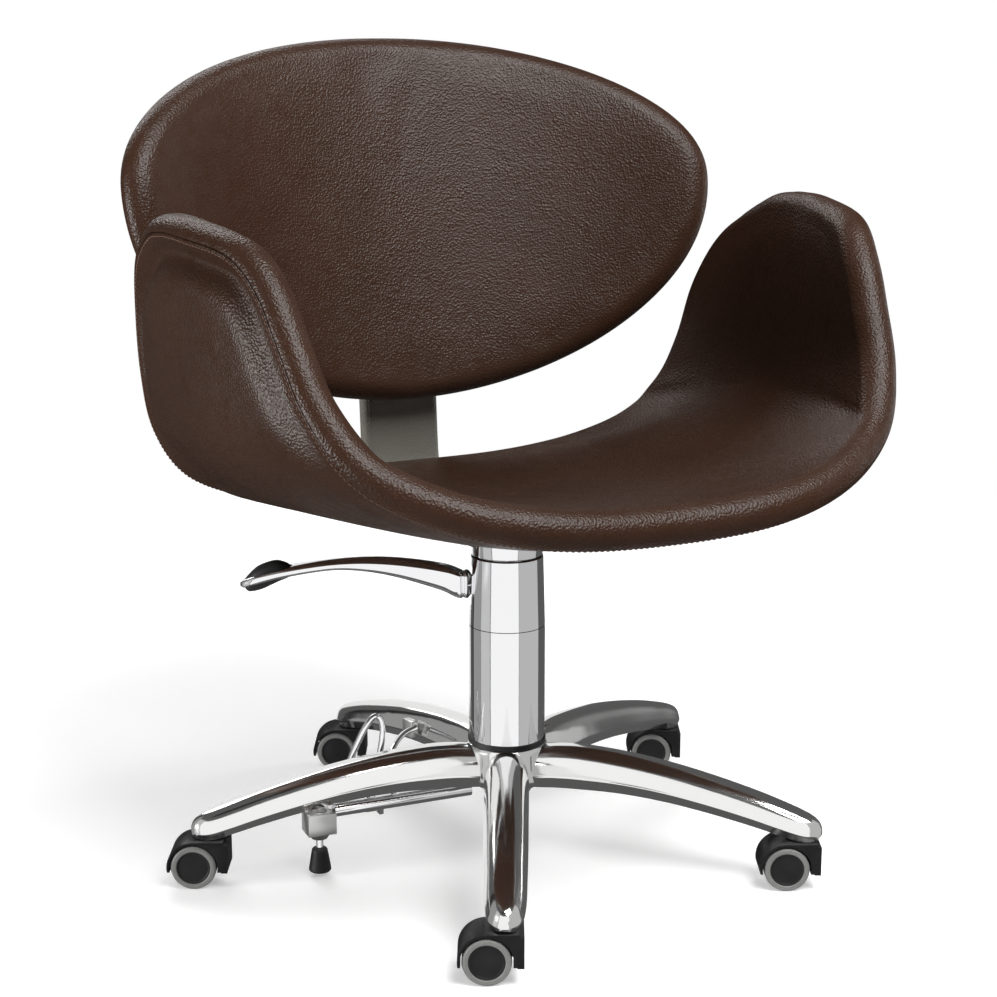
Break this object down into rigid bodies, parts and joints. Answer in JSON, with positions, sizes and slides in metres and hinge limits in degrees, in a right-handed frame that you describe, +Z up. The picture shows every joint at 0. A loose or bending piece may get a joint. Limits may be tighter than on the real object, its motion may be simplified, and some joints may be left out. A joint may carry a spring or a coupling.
{
  "type": "styling chair",
  "caption": "Salon styling chair: bucket seat with wing arms, separate oval back, foot-pumped column, five-arm base on twin-wheel casters, foot brake.",
  "frame": {"origin": "on the floor, on the axis of the column", "axes": "+Z up along the column; the seat faces -Y; +X is towards the sitter's left"},
  "size_m": [0.7794, 0.7468, 0.9136],
  "materials": {
    "leather": "semi-gloss dark brown, fine grain",
    "grey_leather": "satin grey, stitched edges",
    "board": "plain moulded ply",
    "polished_aluminium": "polished",
    "chrome": "mirror bright",
    "steel": "plain",
    "dark_steel": "black painted",
    "satin_metal": "satin cast",
    "black_rubber": "matt",
    "hood_plastic": "satin black nylon",
    "wheel_plastic": "satin black nylon",
    "tyre": "grey soft tread"
  },
  "bodies": {
    "base": {"star_base": "polished_aluminium", "base_collar": "black_rubber", "lower_cover": "chrome", "upper_cover": "chrome", "pump_cylinder": "dark_steel", "pump_head": "dark_steel", "lever_pin": "steel", "brake_bar": "chrome", "brake_lug": "satin_metal", "brake_housing": "satin_metal", "brake_spring": "steel", "brake_pin": "steel", "caster_stems": "steel"},
    "piston": {"pump_piston": "chrome"},
    "seat": {"seat_plate": "dark_steel", "seat_bolts": "steel", "seat_core": "board", "seat_pad": "leather", "seat_outer_panel": "leather", "back_board": "board", "back_pad": "leather", "back_panel": "leather", "back_bracket": "dark_steel", "bracket_sleeve": "grey_leather", "bracket_screws": "steel"},
    "lever": {"pump_lever": "chrome", "lever_grip": "black_rubber"},
    "brake_pedal": {"brake_pedal": "chrome"},
    "brake_foot": {"brake_plunger": "chrome", "brake_foot": "black_rubber"},
    "caster_1": {"hood_1": "hood_plastic", "axle_1": "steel"},
    "roller_1a": {"wheel_1a": "wheel_plastic", "tyre_1a": "tyre"},
    "roller_1b": {"wheel_1b": "wheel_plastic", "tyre_1b": "tyre"},
    "caster_2": {"hood_2": "hood_plastic", "axle_2": "steel"},
    "roller_2a": {"wheel_2a": "wheel_plastic", "tyre_2a": "tyre"},
    "roller_2b": {"wheel_2b": "wheel_plastic", "tyre_2b": "tyre"},
    "caster_3": {"hood_3": "hood_plastic", "axle_3": "steel"},
    "roller_3a": {"wheel_3a": "wheel_plastic", "tyre_3a": "tyre"},
    "roller_3b": {"wheel_3b": "wheel_plastic", "tyre_3b": "tyre"},
    "caster_4": {"hood_4": "hood_plastic", "axle_4": "steel"},
    "roller_4a": {"wheel_4a": "wheel_plastic", "tyre_4a": "tyre"},
    "roller_4b": {"wheel_4b": "wheel_plastic", "tyre_4b": "tyre"},
    "caster_5": {"hood_5": "hood_plastic", "axle_5": "steel"},
    "roller_5a": {"wheel_5a": "wheel_plastic", "tyre_5a": "tyre"},
    "roller_5b": {"wheel_5b": "wheel_plastic", "tyre_5b": "tyre"}
  },
  "joints": [
    {"name": "seat_lift", "type": "slide", "parent": "base", "child": "piston", "axis": [0, 0, 1], "range_m": [0, 0.13]},
    {"name": "seat_swivel", "type": "hinge", "parent": "piston", "child": "seat", "pos_m": [0, 0, 0.355], "axis": [0, 0, 1], "continuous": true},
    {"name": "lever_stroke", "type": "hinge", "parent": "base", "child": "lever", "pos_m": [-0.03236, 0.01578, 0.313], "axis": [-0.4384, -0.8988, 0], "range_deg": [-4, 14]},
    {"name": "pedal_press", "type": "hinge", "parent": "base", "child": "brake_pedal", "pos_m": [-0.17819, 0.03007, 0.066], "axis": [-0.9969, 0.0785, 0], "range_deg": [0, 18]},
    {"name": "foot_drop", "type": "slide", "parent": "base", "child": "brake_foot", "axis": [0, 0, -1], "range_m": [0, 0.0055]},
    {"name": "caster_1_swivel", "type": "hinge", "parent": "base", "child": "caster_1", "pos_m": [-0.15215, -0.30517, 0.05], "axis": [0, 0, 1], "continuous": true},
    {"name": "wheel_1a_roll", "type": "hinge", "parent": "caster_1", "child": "roller_1a", "pos_m": [-0.16833, -0.29728, 0.025], "axis": [-0.4384, -0.8988, 0], "continuous": true},
    {"name": "wheel_1b_roll", "type": "hinge", "parent": "caster_1", "child": "roller_1b", "pos_m": [-0.16833, -0.29728, 0.025], "axis": [-0.4384, -0.8988, 0], "continuous": true},
    {"name": "caster_2_swivel", "type": "hinge", "parent": "base", "child": "caster_2", "pos_m": [0.24322, -0.23901, 0.05], "axis": [0, 0, 1], "continuous": true},
    {"name": "wheel_2a_roll", "type": "hinge", "parent": "caster_2", "child": "roller_2a", "pos_m": [0.22704, -0.23112, 0.025], "axis": [-0.4384, -0.8988, 0], "continuous": true},
    {"name": "wheel_2b_roll", "type": "hinge", "parent": "caster_2", "child": "roller_2b", "pos_m": [0.22704, -0.23112, 0.025], "axis": [-0.4384, -0.8988, 0], "continuous": true},
    {"name": "caster_3_swivel", "type": "hinge", "parent": "base", "child": "caster_3", "pos_m": [0.30247, 0.15746, 0.05], "axis": [0, 0, 1], "continuous": true},
    {"name": "wheel_3a_roll", "type": "hinge", "parent": "caster_3", "child": "roller_3a", "pos_m": [0.28629, 0.16535, 0.025], "axis": [-0.4384, -0.8988, 0], "continuous": true},
    {"name": "wheel_3b_roll", "type": "hinge", "parent": "caster_3", "child": "roller_3b", "pos_m": [0.28629, 0.16535, 0.025], "axis": [-0.4384, -0.8988, 0], "continuous": true},
    {"name": "caster_4_swivel", "type": "hinge", "parent": "base", "child": "caster_4", "pos_m": [-0.05628, 0.33632, 0.05], "axis": [0, 0, 1], "continuous": true},
    {"name": "wheel_4a_roll", "type": "hinge", "parent": "caster_4", "child": "roller_4a", "pos_m": [-0.07246, 0.34421, 0.025], "axis": [-0.4384, -0.8988, 0], "continuous": true},
    {"name": "wheel_4b_roll", "type": "hinge", "parent": "caster_4", "child": "roller_4b", "pos_m": [-0.07246, 0.34421, 0.025], "axis": [-0.4384, -0.8988, 0], "continuous": true},
    {"name": "caster_5_swivel", "type": "hinge", "parent": "base", "child": "caster_5", "pos_m": [-0.33725, 0.0504, 0.05], "axis": [0, 0, 1], "continuous": true},
    {"name": "wheel_5a_roll", "type": "hinge", "parent": "caster_5", "child": "roller_5a", "pos_m": [-0.35343, 0.05829, 0.025], "axis": [-0.4384, -0.8988, 0], "continuous": true},
    {"name": "wheel_5b_roll", "type": "hinge", "parent": "caster_5", "child": "roller_5b", "pos_m": [-0.35343, 0.05829, 0.025], "axis": [-0.4384, -0.8988, 0], "continuous": true}
  ],
  "couplings": [
    {"joint": "foot_drop", "follows": "pedal_press", "m_per_rad": 0.017507}
  ]
}
